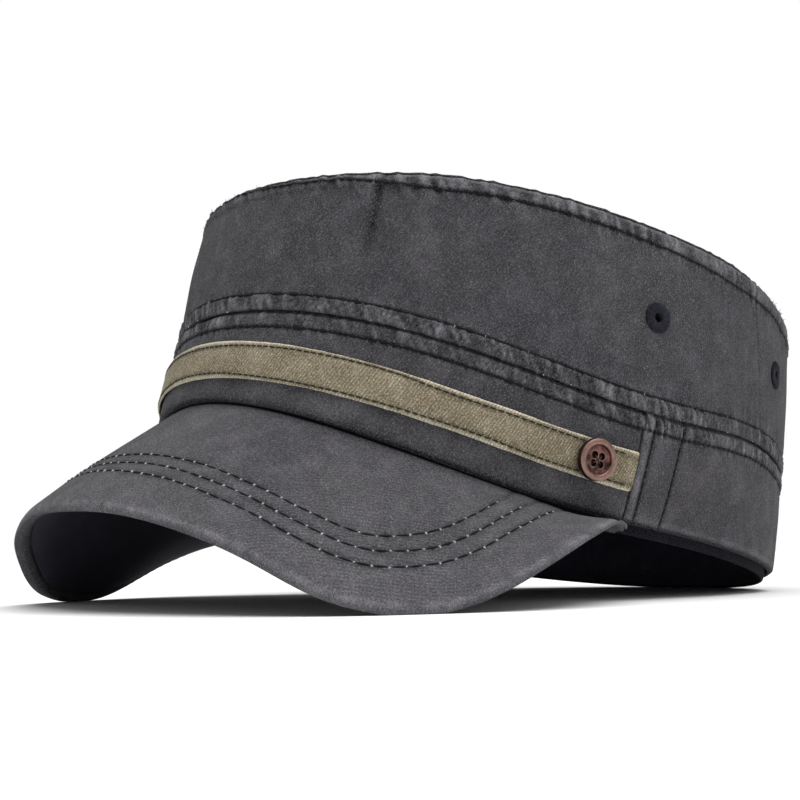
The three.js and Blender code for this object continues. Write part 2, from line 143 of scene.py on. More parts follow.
# %% One helper that makes a skin from a node of the frame
def smooth(mesh):
    for face in mesh.polygons:
        face.use_smooth = True


def keep(bm, name):
    """Turns a bmesh into a finished object at the origin."""
    mesh = bpy.data.meshes.new(name)
    bm.to_mesh(mesh)
    bm.free()
    piece = bpy.data.objects.new(name, mesh)
    bpy.context.scene.collection.objects.link(piece)
    smooth(mesh)
    return piece


def apply_modifiers(piece, keep_layers=False):
    """Turns what a piece's modifiers make of it into its own mesh."""
    depsgraph = bpy.context.evaluated_depsgraph_get()
    piece.data = bpy.data.meshes.new_from_object(
        piece.evaluated_get(depsgraph), preserve_all_data_layers=keep_layers, depsgraph=depsgraph)
    piece.modifiers.clear()


# How much of its sharpness a marked corner keeps, from 0 to 1
TIGHT = 0.45


def quads_of(node, corner):
    """A node's triangles joined to four-sided faces, with its corners marked to stay tight."""
    bm = bmesh.new()
    bm.from_mesh(nodes[node].data)
    bmesh.ops.remove_doubles(bm, verts=bm.verts, dist=0.005 * mm)
    bmesh.ops.join_triangles(
        bm, faces=bm.faces, angle_face_threshold=math.radians(50),
        angle_shape_threshold=math.radians(75),
    )
    crease = bm.edges.layers.float.new("crease_edge")
    for edge in bm.edges:
        if edge.calc_face_angle(0) > math.radians(corner):
            edge[crease] = TIGHT
    return bm


def skin(node, rounds, corner=40):
    """A rounded skin over a node, with its subdivision applied."""
    piece = keep(quads_of(node, corner), node + "_skin")
    modifier = piece.modifiers.new("Round", "SUBSURF")
    modifier.levels = modifier.render_levels = rounds
    apply_modifiers(piece)
    smooth(piece.data)
    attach(piece, "root")
    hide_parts(node)
    print(piece.name, "has", len(piece.data.polygons), "faces")
    return piece


side = skin("crown_side", 3)
front = skin("band_front", 3)
back = skin("band_back", 3)
top = skin("crown_top", 2)
peak = skin("peak", 3, corner=70)
lining = skin("peak_lining", 1)
sweat = skin("sweatband", 2)
tape = skin("strap", 3)

# %% [markdown]
# ## Puckers and soft dents
# A seam that shrinks in the wash draws the cloth into short ripples across it, about one to each stitch
# or two. They are deepest beside the stitches and fade within a few millimetres. Wider, weaker waves
# over the walls come from wear. Every vertex is moved along its own normal by a sum of such waves. The
# finest puckers are left to the material, which finds their place in the "seam" value of each vertex.

# %% Waves that run across a seam
WALL_RADIUS = 94 * mm
BAND_RADIUS = 82 * mm
RADIAN = 57.3


def arc(angle, radius=WALL_RADIUS):
    """How long an arc of some degrees is."""
    return angle / RADIAN * radius


# Each seed moves the noise this far on
SEED_STEPS = (3.7, 1.9, 5.3)


def wobble(points, size, seed):
    """Smooth noise from -1 to 1, with lumps of a size in metres."""
    shift = Vector([seed * step for step in SEED_STEPS])
    return np.array([noise.noise(Vector(p) / size + shift) for p in points])


# How far a ripple leans for its height, and how much longer than wide it is
RIPPLE_LEAN = 0.45
RIPPLE_STRETCH = 4.5


def ripples(points, pitch, seed):
    """Uneven ripples that run up the wall and lean a little, about two pitches apart."""
    turn = np.arctan2(points[:, 0], -points[:, 1]) + RIPPLE_LEAN * points[:, 2] / WALL_RADIUS
    flat = np.column_stack([np.sin(turn), -np.cos(turn), points[:, 2] / (RIPPLE_STRETCH * WALL_RADIUS)])
    flat = flat * WALL_RADIUS / pitch
    coarse = wobble(flat, 1.0, seed)
    fine = wobble(flat * 2.1, 1.0, seed + 4)
    strength = 0.85 + 0.6 * wobble(points, 14 * mm, seed + 7)
    return np.clip((coarse * 1.5 + fine * 0.8) * strength, -1, 1)


def bell(distance, width):
    """1 where the distance is 0, and hardly anything past two widths."""
    return np.exp(-(distance / width) ** 2)


# %% The places of the seams, in metres from their own edge, and the size of the puckers
UPPER_STITCH = 5.2 * mm
LOWER_STITCH = 4.4 * mm
PUCKER = 1.35 * mm
LIP = 1.5 * mm
CREASE_AT = 27

# The top row's fall below the edge, in mm, at angles round the head
ROW_TURNS = (-75, -50, 0, 10, 22, 30, 36, 44, 60, 80, 98, 116, 180)
ROW_FALLS = (4.0, 0.6, 0.6, 1.3, 1.5, 3.0, 4.1, 3.7, 4.0, 4.5, 5.3, 4.6, 4.0)


def edge_stitch(angles):
    """How far the top row lies below the edge. At the front the edge is rolled back."""
    return np.interp(angles, ROW_TURNS, ROW_FALLS) * mm


def outer_side(points, normals):
    """1 where a face looks away from the head, 0 where it looks in."""
    away = points[:, :2] / np.linalg.norm(points[:, :2], axis=1, keepdims=True)
    return np.clip((normals[:, :2] * away).sum(axis=1) * 2, 0, 1)


def outer_or_upper(points, normals):
    """1 where a face looks out or up, 0 where it looks in or down."""
    return np.maximum(outer_side(points, normals), np.clip(normals[:, 2] * 2, 0, 1))


def any_side(points, normals):
    """1 where a face looks out, up or down, 0 where it looks in."""
    return np.maximum(outer_side(points, normals), np.clip(np.abs(normals[:, 2]) * 2, 0, 1))


def keep_values(mesh, name, values):
    """Keeps a number for each point, which a material can read by its name."""
    layer = mesh.attributes.new(name, "FLOAT", "POINT")
    layer.data.foreach_set("value", np.clip(values, -1, 1).astype(np.float32))


def press(piece, depth_at, wear_and_shade_at, lip_at=None, facing=outer_side, worn_and_shaded=None, seam_at=None):
    """Moves a skin along its normals, and keeps for each place its puckers and its rubbed paleness and
    darkness, some of it painted shade.
    """
    mesh = piece.data
    points = points_of(mesh)
    flat_points = turn_all(points, upright)
    flat_normals = upright_normals(mesh)
    outward = facing(flat_points, flat_normals)
    height = depth_at(flat_points)
    moved = points + normals_of(mesh) * (height * mm * outward)[:, None]
    if lip_at:
        moved += (LIP * (1 - outward) * lip_at(flat_points))[:, None] * CAP_UP
    mesh.vertices.foreach_set("co", moved.ravel())
    if worn_and_shaded:
        outward = worn_and_shaded(flat_points, flat_normals)
    keep_values(mesh, "wear_and_shade", wear_and_shade_at(flat_points, height) * outward)
    if seam_at:
        keep_values(mesh, "seam", seam_at(flat_points))
    mesh.update()
    print(piece.name, "is moved by up to", round(float(np.abs(moved - points).max()) / mm, 2), "mm")


# %% The upper wall: puckers by its seams, and an upright seam on each side near the back
# The angle of the upright seams at their foot, and how far forwards they come
UPRIGHT_SEAM_AT = 116.5
UPRIGHT_SEAM_SLANT = 9.5


def upright_seam(points, rise):
    """How far points lie from the upright seams, which slant forwards as they rise."""
    return arc(np.abs(angle_of(points)) - (UPRIGHT_SEAM_AT - UPRIGHT_SEAM_SLANT * rise))


def from_crease(angle):
    """How far round the wall places are from the sharp upright crease."""
    return arc(angle - CREASE_AT)


# How strongly the ridges are rubbed pale, and how dark the grooves stay
RIDGE_WEAR = 1.7
GROOVE_WEAR = 0.9


def side_place(points):
    """The angle, the ways from the lower seam and the upper edge, and the top row's fall."""
    angle = angle_of(points)
    low = points[:, 2] - seam_height(angle)
    high = edge_height(angle) - points[:, 2]
    return angle, low, high, edge_stitch(angle)


def side_depth(points):
    angle, low, high, row = side_place(points)
    lower = ripples(points, PUCKER, 1)
    border = ripples(points, PUCKER * 1.3, 5)
    between = bell(low - UPPER_STITCH / 2, 3.0 * mm)
    tails = bell(low - UPPER_STITCH - 3 * mm, 3.4 * mm)
    under_edge = bell(high - row / 2, 2.8 * mm)
    tails_high = bell(high - row - 3 * mm, 4 * mm)
    puckers = lower * (0.50 * between + 0.24 * tails)
    puckers += border * (0.42 * under_edge + 0.26 * tails_high)
    pleats = ripples(points * np.array([1, 1, 0.3]), 4.5 * mm, 25) * bell(high - 14 * mm, 13 * mm)
    broad = wobble(points, 34 * mm, 9) * 0.45 + wobble(points, 12 * mm, 11) * 0.14
    middle = np.clip(low / (14 * mm), 0, 1) * np.clip(high / (12 * mm), 0, 1)
    beside = upright_seam(points, low / (low + high))
    ridge = 0.2 * bell(beside + 1.6 * mm, 1.4 * mm) - 0.3 * bell(beside - 0.4 * mm, 0.9 * mm)
    across = from_crease(angle)
    crease = 0.5 * bell(across + 2.6 * mm, 2.4 * mm) - 0.9 * bell(across, 1.3 * mm)
    crease = crease * bell(high - 13 * mm, 12 * mm)
    ridge = ridge * np.clip(low / (6 * mm), 0, 1)
    return puckers + 0.16 * pleats + crease + broad * middle + ridge


def side_wear_and_shade(points, height):
    angle, low, high, row = side_place(points)
    ridges = height * RIDGE_WEAR * (bell(low - UPPER_STITCH / 2, 4 * mm) + bell(high - row / 2, 4 * mm))
    grooves = 0.5 * bell(low, 0.6 * mm) + bell(low - UPPER_STITCH, 0.5 * mm)
    grooves += 1.2 * bell(high - row, 0.6 * mm)
    washed = 0.14 * bell(low - UPPER_STITCH / 2, 3.5 * mm) + 0.2 * wobble(points, 9 * mm, 53)
    pale = np.interp(angle, (-75, -50, 5, 20), (1.0, 0.1, 0.3, 1.0))
    edge = 0.32 * np.clip((row - high) / (0.8 * mm), 0, 1)
    beside = upright_seam(points, low / (low + high))
    line = 0.1 * bell(beside + 1.6 * mm, 1.2 * mm) - 0.45 * bell(beside - 0.3 * mm, 0.7 * mm)
    rough = 0.5 + wobble(points, 2.2 * mm, 41)
    # Painted shade along the sharp upright crease, darkest on its line and fading down the wall
    crease = 0.7 * bell(from_crease(angle), 1.2 * mm) * bell(high - 13 * mm, 11 * mm)
    edge = pale * (edge + 0.3 * bell(high, 1.1 * mm)) * (0.6 + 0.8 * rough)
    return ridges - GROOVE_WEAR * grooves + washed + edge + line - crease


def side_lip(points):
    """Its two edges lap their neighbours: the lower one by the whole lip, the upper one by less."""
    angle, low, high, _ = side_place(points)
    closing = (0.25 + 0.22 * (1 - np.cos(np.radians(angle)))) * mm / LIP
    return bell(low, 1.5 * mm) + closing * bell(high, 1.0 * mm)


def rise_to_top(piece, rise):
    """Lifts the wall's upper edge to the panel that it is sewn to."""
    points = points_of(piece.data)
    flat_points = turn_all(points, upright)
    share = bell(edge_height(angle_of(flat_points)) - flat_points[:, 2], 0.8 * mm)
    points += (rise * share)[:, None] * CAP_UP
    piece.data.vertices.foreach_set("co", points.ravel())
    piece.data.update()


def side_seams(points):
    """1 between the seam and its row of stitches, above and below, fading to 0 away from them."""
    angle, low, high, row = side_place(points)
    upper = np.interp(angle, (-75, -50, 5, 20), (1.0, 0.2, 0.3, 1.0)) * bell(high - row, 3.6 * mm)
    return 0.9 * bell(low - UPPER_STITCH / 2, 4.0 * mm) + 0.8 * upper


press(side, side_depth, side_wear_and_shade, side_lip, seam_at=side_seams)
rise_to_top(side, 0.28 * mm)


# %% The bands: puckers under the seam, worn folds at the laps, a pale rim at the back, and painted shade and light near the rim
# The fold's angle, and how far behind it the two upright rows of stitches are
FOLD = 77.6
FIRST_FOLD_STITCH = 3.3 * mm
SECOND_FOLD_STITCH = 14.3 * mm


def past_fold(points):
    """How far behind the fold places are, on either side."""
    return arc(np.abs(angle_of(points)) - FOLD, BAND_RADIUS)


def fold_rows(past, width):
    return bell(past - FIRST_FOLD_STITCH, width) + bell(past - SECOND_FOLD_STITCH, width)


def band_depth(points):
    angle = angle_of(points)
    high = seam_height(angle) - points[:, 2]
    upper = ripples(points, PUCKER, 1)
    between = bell(high - LOWER_STITCH / 2, 2.8 * mm)
    tails = bell(high - LOWER_STITCH - 2.5 * mm, 3.2 * mm)
    broad = wobble(points, 22 * mm, 15) * 0.28 + wobble(points, 8 * mm, 17) * 0.10
    clear = np.where(np.abs(angle) < FOLD, 0.25, 1.0)
    past = past_fold(points)
    lapped = ripples(points, PUCKER * 1.6, 19) * 0.12 * bell(past - 7 * mm, 6 * mm) * (past > 0)
    grooves = fold_rows(past, 0.8 * mm)
    ridge = 0.2 * bell(past - 1.6 * mm, 1.2 * mm) * np.clip(high / (6 * mm) - 0.4, 0, 1)
    puckers = upper * (0.46 * between + 0.2 * tails)
    broad = broad * np.clip(high / (9 * mm), 0, 1) * clear
    return puckers + broad + lapped + (ridge - 0.24 * grooves) * (past > 0)


def band_wear_and_shade(points, height):
    angle = angle_of(points)
    low = points[:, 2] - rim_height(angle)
    high = seam_height(angle) - points[:, 2]
    past = past_fold(points)
    ridges = height * RIDGE_WEAR * bell(high - LOWER_STITCH / 2, 4 * mm)
    grooves = 0.5 * bell(high, 0.6 * mm) + bell(high - LOWER_STITCH, 0.5 * mm)
    washed = 0.14 * bell(high - LOWER_STITCH / 2, 3.2 * mm) + 0.22 * wobble(points, 9 * mm, 51)
    # On the front band a painted light lifts the colour below the strap, where the peak's shade falls;
    # behind the folds the cloth is a little paler
    washed = washed + np.where(past > 0, 0.08, 0.2 * bell(low - 6 * mm, 6 * mm))
    fold = np.where(past > -0.6 * mm, bell(past - 1.2 * mm, 1.2 * mm), 0)
    fold = fold * (0.7 + wobble(points, 4 * mm, 43))
    behind = np.where(past > 0, fold_rows(past, 0.7 * mm), 0)
    # Painted shade on the front band along its bottom edge, where the peak meets it
    front_rim_shade = -0.25 * bell(low, 2.2 * mm)
    back_rim = 0.3 * bell(low - 1.6 * mm, 0.8 * mm)
    # At the back the rim is rubbed pale; along the very bottom edge all round the colour is darkened as
    # painted shade
    rim = np.where(np.abs(angle) < FOLD, front_rim_shade, back_rim) - 1.4 * bell(low, 0.6 * mm)
    return ridges - GROOVE_WEAR * grooves + washed + 0.55 * fold - 0.8 * behind + rim


def band_lip(points):
    return bell(seam_height(angle_of(points)) - points[:, 2], 1.5 * mm)


def band_seams(points):
    return 0.9 * bell(seam_height(angle_of(points)) - points[:, 2] - LOWER_STITCH / 2, 4.0 * mm)


press(front, band_depth, band_wear_and_shade, band_lip, worn_and_shaded=any_side, seam_at=band_seams)
press(back, band_depth, band_wear_and_shade, band_lip, worn_and_shaded=any_side, seam_at=band_seams)


# %% The top panel and the strap
def top_depth(points):
    rim = bell(top_reach(angle_of(points)) - reach_of(points), 5 * mm)
    return wobble(points, 35 * mm, 21) * 0.3 + ripples(points, PUCKER * 1.3, 5) * 0.3 * rim


def top_wear(points, height):
    angle = angle_of(points)
    dark = np.interp(angle, (-75, -50, 30, 60), (0.45, 0.1, 0.1, 0.45))
    return height * 0.2 - dark * bell(top_reach(angle) - reach_of(points), 1.1 * mm)


strap_low = level(["strap"], np.min)
strap_high = level(["strap"], np.max)
STRAP_EDGE = 1.5 * mm


def by_edges(points, inset, width):
    """1 on the two lines that run a little inside the strap's edges."""
    angle = angle_of(points)
    low = points[:, 2] - strap_low(angle)
    high = strap_high(angle) - points[:, 2]
    return bell(low - inset, width) + bell(high - inset, width)


def tape_depth(points):
    dents = 0.12 * ripples(points, 1.6 * mm, 33) * by_edges(points, STRAP_EDGE, 1.8 * mm)
    return wobble(points, 9 * mm, 31) * 0.12 - 0.18 * by_edges(points, STRAP_EDGE, 0.5 * mm) + dents


def tape_wear(points, height):
    stitched = by_edges(points, STRAP_EDGE, 0.4 * mm)
    return by_edges(points, 0, 0.8 * mm) - 0.6 * stitched + height * 1.2 * (1 - np.clip(stitched, 0, 1))


def no_depth(points):
    return points[:, 0] * 0


press(top, top_depth, top_wear, facing=outer_or_upper)
press(tape, tape_depth, tape_wear, facing=any_side)
press(lining, no_depth, lambda points, height: height)
# The sweatband's faces that look out, up or down take the deep colour as painted shade; its inner face
# keeps its lighter colour
press(sweat, no_depth, lambda points, height: height - 1, worn_and_shaded=any_side)

# %% [markdown]
# ## The peak
# Three rows of topstitching hold the cloth to the stiff core. They follow the peak's edge, a little
# nearer to it at the corners. The fold at the edge is where a peak is handled and rubbed, so it is
# palest.

# %% The peak's edge, and how far a place is from it
peak_points = turn_all(points_of(nodes["peak"].data), upright)
peak_angle = angle_of(peak_points)
peak_out = reach_of(peak_points) - 0.9 * peak_points[:, 2]
rim_line = []
for a in np.arange(-84, 85, 2.0):
    close = np.abs(peak_angle - a) < 2.2
    if close.any():
        rim_line.append(peak_points[close][np.argmax(peak_out[close])])
rim_line = np.array([a for a, b in zip(rim_line, rim_line[1:]) if np.linalg.norm(b - a) > 0.1 * mm])
print("the peak's edge has", len(rim_line), "places")


def from_edge(points):
    """How far points are from the peak's edge."""
    best = np.full(len(points), 9.0)
    for a, b in zip(rim_line[:-1], rim_line[1:]):
        way = b - a
        t = np.clip((points - a) @ way / (way @ way), 0, 1)
        best = np.minimum(best, np.linalg.norm(points - a - t[:, None] * way, axis=1))
    return best


def tree_of(piece):
    bm = bmesh.new()
    bm.from_mesh(piece.data)
    tree = BVHTree.FromBMesh(bm)
    bm.free()
    return tree


# The rows' distance from the edge and the space between them, in mm, at angles from the front
ROW_ANGLES = (0, 15, 30, 42, 55)
ROW_WAYS = (16.6, 14.5, 12.3, 13.3, 15.3)
ROW_SPACES = (3.8, 4.3, 4.6, 5.3, 6.0)


def row_way(angle, row):
    """How far a row, 0 to 2, is from the peak's edge."""
    turn = np.abs(angle)
    first = np.interp(turn, ROW_ANGLES, ROW_WAYS)
    return (first + row * np.interp(turn, ROW_ANGLES, ROW_SPACES)) * mm


def by_rows(points, way, width):
    """1 on the rows of stitches."""
    angle = angle_of(points)
    return sum(bell(way - row_way(angle, row), width) for row in range(3))


def peak_depth(points):
    rows = by_rows(points, from_edge(points), 0.8 * mm)
    return wobble(points, 28 * mm, 27) * 0.30 + wobble(points, 9 * mm, 29) * 0.07 - 0.2 * rows


def peak_wear_and_shade(points, height):
    """A pale fold at the edge, dark rows of stitches, and a painted shadow line where the band stands on
    it.
    """
    way = from_edge(points)
    rows = by_rows(points, way, 0.5 * mm)
    fold = bell(way - 2.0 * mm, 1.0 * mm) * (0.6 + wobble(points, 3 * mm, 45))
    # The painted shadow darkens the peak within a few millimetres of the band
    band = tree_of(front)
    near = np.array([band.find_nearest(place)[3] for place in turn_all(points, resting)])
    washed = 0.16 + 0.06 * bell(way, 16 * mm)
    return 0.55 * fold - 0.6 * rows + 0.25 * height + washed - 0.75 * bell(near, 1.6 * mm)


press(peak, peak_depth, peak_wear_and_shade, facing=outer_or_upper)

# %% Thin the peak's two ends, where it runs out under the folds of the band
# From this angle to the fold the underside rises and the top sinks
THIN_FROM = 56
RAISE_UNDERSIDE = 1.0 * mm
SINK_TOP = 1.6 * mm
points = points_of(peak.data)
faced = upright_normals(peak.data)[:, 2]
thin = np.abs(angle_of(turn_all(points, upright)))
thin = np.clip((thin - THIN_FROM) / (FOLD - THIN_FROM), 0, 1)
rise = RAISE_UNDERSIDE * np.clip(0.4 - faced, 0, 1) - SINK_TOP * np.clip(faced + 0.2, 0, 1)
rise = rise * thin * thin * (3 - 2 * thin)
points += rise[:, None] * CAP_UP
peak.data.vertices.foreach_set("co", points.ravel())
peak.data.update()
print("the peak's ends are thinned at", int((thin > 0).sum()), "places")

# %% [markdown]
# ## Cloth coordinates
# A weave runs along the cloth, round the head and up the wall, so each skin gets a UV map in metres:
# the way round the head across, and the way up along. The peak and the top are cut flat from the cloth,
# so theirs is a plain view from above.

# %% UV maps in metres
def map_cloth(piece, wraps):
    mesh = piece.data
    points = turn_all(points_of(mesh), upright)
    corner = np.empty(len(mesh.loops), dtype=np.int64)
    mesh.loops.foreach_get("vertex_index", corner)
    if wraps:
        angle = angle_of(points)[corner]
        starts = np.array([face.loop_start for face in mesh.polygons])
        sizes = np.array([face.loop_total for face in mesh.polygons])
        first = np.repeat(angle[starts], sizes)
        angle = angle + 360 * (first - angle > 180) - 360 * (angle - first > 180)
        across = np.radians(angle) * WALL_RADIUS
        along = points[corner, 2]
    else:
        across, along = points[corner, 0], points[corner, 1]
    layer = mesh.uv_layers.new(name="cloth")
    layer.data.foreach_set("uv", np.column_stack([across, along]).ravel())


for piece in (side, front, back, sweat, tape):
    map_cloth(piece, True)
for piece in (top, peak, lining):
    map_cloth(piece, False)

# %% [markdown]
# ## Stitches
# Topstitching is strong dark thread, a stitch to every 3 mm of the walls, pulled a little into the cloth.
# Each stitch is a small stretched ball laid along the skin. The way of a row is found by casting rays
# at the skin, so the thread lies on the cloth wherever the cloth goes.

# %% Rows of stitches
THREAD_RADIUS = 0.31 * mm
STITCH_LENGTH = 2.7 * mm
STITCH_GAP = 0.2 * mm
# A stitch doesn't cross a gap in its path that is wider than this
BROKEN_PATH = 9 * mm
# Heights and a reach that are outside the whole upright cap
WELL_OUT = 0.25
WELL_ABOVE = Vector((0, 0, 0.1))
WELL_BELOW = Vector((0, 0, -0.2))

trees = {piece.name: tree_of(piece) for piece in (side, front, back, top, peak, tape, sweat)}


def cast(piece, start, end):
    """Where a line in the upright cap meets a skin: the place and its outward normal."""
    first = resting @ Vector(start)
    last = resting @ Vector(end)
    ahead = (last - first).normalized()
    place, normal, _, _ = trees[piece.name].ray_cast(first, ahead)
    if place is None:
        return None
    return place, (normal if normal.dot(ahead) < 0 else -normal)


def way_out(angle):
    """The level way out from the middle of the head, at an angle in degrees."""
    turn = math.radians(angle)
    return Vector((math.sin(turn), -math.cos(turn), 0))


def on_wall(piece, angle, height):
    """A place on the outside of a wall, at an angle and a height in the upright cap."""
    return cast(piece, way_out(angle) * WELL_OUT + Vector((0, 0, height)), Vector((0, 0, height)))


def bead():
    """One ball as a template: its points and its four-sided and three-sided faces."""
    bm = bmesh.new()
    bmesh.ops.create_uvsphere(bm, u_segments=6, v_segments=5, radius=1)
    points = np.array([vert.co for vert in bm.verts])
    faces = [[vert.index for vert in face.verts] for face in bm.faces]
    bm.free()
    return points, faces


BEAD_POINTS, BEAD_FACES = bead()


def beads(name, places):
    """One mesh of many balls, each turned and stretched by its own matrix."""
    points = np.vstack([turn_all(BEAD_POINTS, place) for place in places])
    count = len(BEAD_POINTS)
    faces = [[i + k * count for i in face] for k in range(len(places)) for face in BEAD_FACES]
    mesh = bpy.data.meshes.new(name)
    mesh.from_pydata(points.tolist(), [], faces)
    mesh.shade_smooth()
    piece = bpy.data.objects.new(name, mesh)
    bpy.context.scene.collection.objects.link(piece)
    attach(piece, "root")
    print(name, "has", len(places), "strands and", len(faces), "faces")
    return piece


def stretched(middle, along, out, radius):
    """The matrix that stretches a ball along a way, flat side out."""
    z_axis = along.normalized()
    x_axis = z_axis.cross(out).normalized()
    y_axis = z_axis.cross(x_axis)
    turn = Matrix((x_axis * radius, y_axis * radius, along / 2)).transposed().to_4x4()
    return Matrix.Translation(middle) @ turn


def lay_stitches(places, path, length=STITCH_LENGTH, space=STITCH_GAP, radius=THREAD_RADIUS, sink=0.45):
    """Adds a stitch's matrix for each length along a path of places and normals."""
    path = [spot for spot in path if spot]
    ends = []
    walked = 0.0
    target = 0.0
    start = None
    for (a, out_a), (b, out_b) in zip(path, path[1:]):
        step = (b - a).length
        if step > BROKEN_PATH:
            start = None
            continue
        while step > 0 and walked + step >= target:
            share = (target - walked) / step
            spot = (a.lerp(b, share), out_a.lerp(out_b, share).normalized())
            if start is None:
                start = spot
                target += length
            else:
                ends.append((start, spot))
                start = None
                target += space
        walked += step
    for (first, out_first), (last, out_last) in ends:
        out = (out_first + out_last).normalized()
        middle = (first + last) / 2 + out * radius * (1 - 2 * sink)
        places.append(stretched(middle, last - first, out, radius))
    return ends


# %% The rows round the walls
PATH_STEP = 0.5
full_turn = np.arange(-180, 180.5, PATH_STEP)
front_turn = np.arange(-FOLD + 0.5, FOLD, PATH_STEP)
back_turn = np.arange(FOLD + 0.6, 360 - FOLD, PATH_STEP)
wall_rows = []
for piece, turns, height in (
    (side, full_turn, lambda a: edge_height(a) - edge_stitch(a)),
    (side, full_turn, lambda a: seam_height(a) + UPPER_STITCH),
    (front, front_turn, lambda a: seam_height(a) - LOWER_STITCH),
    (back, back_turn, lambda a: seam_height(a) - LOWER_STITCH),
):
    lay_stitches(wall_rows, [on_wall(piece, a, height(a)) for a in turns])
for hand in (-1, 1):
    for way in (FIRST_FOLD_STITCH, SECOND_FOLD_STITCH):
        a = hand * (FOLD + math.degrees(way / BAND_RADIUS))
        rise = np.linspace(float(rim_height(a)) + 1.0 * mm, float(seam_height(a)) - 0.8 * mm, 60)
        lay_stitches(wall_rows, [on_wall(back, a, z) for z in rise])
wall_stitches = beads("wall_stitches", wall_rows)

# %% The rows on the strap, with thread a shade darker than the tape
strap_rows = []
strap_turn = np.arange(-75.5, 76, PATH_STEP)
for height in (lambda a: strap_high(a) - STRAP_EDGE, lambda a: strap_low(a) + STRAP_EDGE):
    path = [on_wall(tape, a, float(height(a))) for a in strap_turn]
    lay_stitches(strap_rows, path, length=2.0 * mm, radius=0.27 * mm)
strap_stitches = beads("strap_stitches", strap_rows)


# %% The three rows on the peak
def peak_slice(angle):
    """Places on the peak's upper face along one angle, from the edge in to the band."""
    out = way_out(angle)
    spots = []
    for reach in np.arange(60, 155, 1.0) * mm:
        hit, wall = (
            cast(piece, out * reach + WELL_ABOVE, out * reach + WELL_BELOW) for piece in (peak, front))
        if hit and not wall:
            spots.append(hit)
    return spots[::-1]


slices = {}
for a in np.arange(-78, 78.5, 1.5):
    spots = peak_slice(a)
    if len(spots) > 2:
        ways = from_edge(turn_all(np.array([place for place, out in spots]), upright))
        slices[a] = (spots, ways)
print("peak slices:", len(slices))


def peak_row(row):
    """The path of a row: on each slice the place as far from the edge as the row is."""
    spots_found = []
    for a, (spots, ways) in slices.items():
        way = float(row_way(a, row))
        i = next((k for k in range(1, len(ways)) if ways[k - 1] < way <= ways[k]), None)
        if i:
            share = (way - ways[i - 1]) / (ways[i] - ways[i - 1])
            (p, out_p), (q, out_q) = spots[i - 1], spots[i]
            spots_found.append((p.lerp(q, share), out_p.lerp(out_q, share).normalized()))
    return spots_found


peak_rows = []
needle_marks = []
for row in range(3):
    needle_marks += lay_stitches(peak_rows, peak_row(row), length=3.5 * mm, space=0.8 * mm)


HEM_WAY = 2.7 * mm


def hem_spot(angle):
    """The place under the peak where the hem meets the lining."""
    reaches = [way_out(angle) * reach for reach in np.arange(150, 80, -0.7) * mm]
    hits = [cast(peak, reach + WELL_BELOW, reach + WELL_ABOVE) for reach in reaches]
    hits = [hit for hit in hits if hit]
    ways = from_edge(turn_all(np.array([place for place, out in hits]), upright))
    return next((hit for hit, way in zip(hits, ways) if way > HEM_WAY and hit[1].z < 0.2), None)


hem_row = [hem_spot(a) for a in np.arange(-63, 63.5, 1.5)]
lay_stitches(peak_rows, hem_row, length=2.6 * mm, space=0.6 * mm, radius=0.22 * mm, sink=0.85)
peak_stitches = beads("peak_stitches", peak_rows)

# %% Pale tacks on the inside of the sweatband, low at the back
TACK_STEP = 6.5
tacks = []
for a in np.arange(140, 221, TACK_STEP):
    turn = a + random.uniform(-0.6, 0.6)
    middle = Vector((0, 0, random.uniform(11.3, 12.7) * mm))
    spot = cast(sweat, middle, middle + way_out(turn))
    beside = resting.to_3x3() @ (way_out(turn + 90) + Vector((0, 0, random.uniform(-0.3, 0.3))))
    tacks.append(stretched(spot[0] + spot[1] * 0.1 * mm, beside * 2.0 * mm, spot[1], 0.3 * mm))
sweat_tacks = beads("sweat_tacks", tacks)

# %% Pale lint caught at the needle holes of the peak and of the seam
# How many of the needle holes hold lint
PEAK_LINT = 0.85
SEAM_LINT = 0.4
lint = []
for (first, out_first), (last, out_last) in needle_marks:
    if random.random() < PEAK_LINT:
        way = (last - first).normalized().cross(out_last)
        place = last + (last - first) * 0.1 + way * random.uniform(-0.2, 0.2) * mm
        along = way * random.uniform(0.4, 1.0) * mm
        lint.append(stretched(place, along, out_last, random.uniform(0.2, 0.3) * mm))
for a in np.arange(-20, 150, 2.1):
    turn = a + random.uniform(-1, 1)
    row = random.choice((UPPER_STITCH, 0.6 * mm, 0.6 * mm))
    spot = on_wall(side, turn, float(seam_height(turn)) + row)
    if spot and random.random() < SEAM_LINT:
        lint.append(Matrix.Translation(spot[0]) @ Matrix.Scale(random.uniform(0.14, 0.24) * mm, 4))
lint_specks = beads("lint_specks", lint)

# %% Loose fibres that stand out of the cloth's rough top edge
LOOSE_FIBRES = 420
FIBRE_RADIUS = 0.06 * mm
fuzz = []
for _ in range(LOOSE_FIBRES):
    a = random.uniform(-180, 180)
    spot = on_wall(side, a, float(edge_height(a)) - random.uniform(0.1, 1.0) * mm)
    if spot:
        stray = Vector((random.uniform(-1, 1), random.uniform(-1, 1), random.uniform(0, 1.6)))
        way = (spot[1] + stray).normalized() * random.uniform(0.5, 1.5) * mm
        fuzz.append(stretched(spot[0] + way * 0.35, way, spot[1], FIBRE_RADIUS))
edge_fuzz = beads("edge_fuzz", fuzz)

# %% [markdown]
# ## Air holes
# An embroidered air hole is a ring of satin stitches, laid like spokes over the edge of a punched hole.
# A ring is spun from its profile, and stretched balls are laid over it as the stitches.

# %% A ring of satin stitches on each air hole
# Its profile in mm: the way from the middle, and the height over the cloth
RING = (
    (1.3, -2.0), (1.3, 0.0), (1.8, 0.35), (3.0, 0.45), (4.0, 0.3), (4.4, 0.05), (2.2, 0.05), (2.2, -2.0))
SATIN_STITCHES = 32
# The wall's slope is measured this far from the hole
BESIDE_HOLE = 5.6 * mm


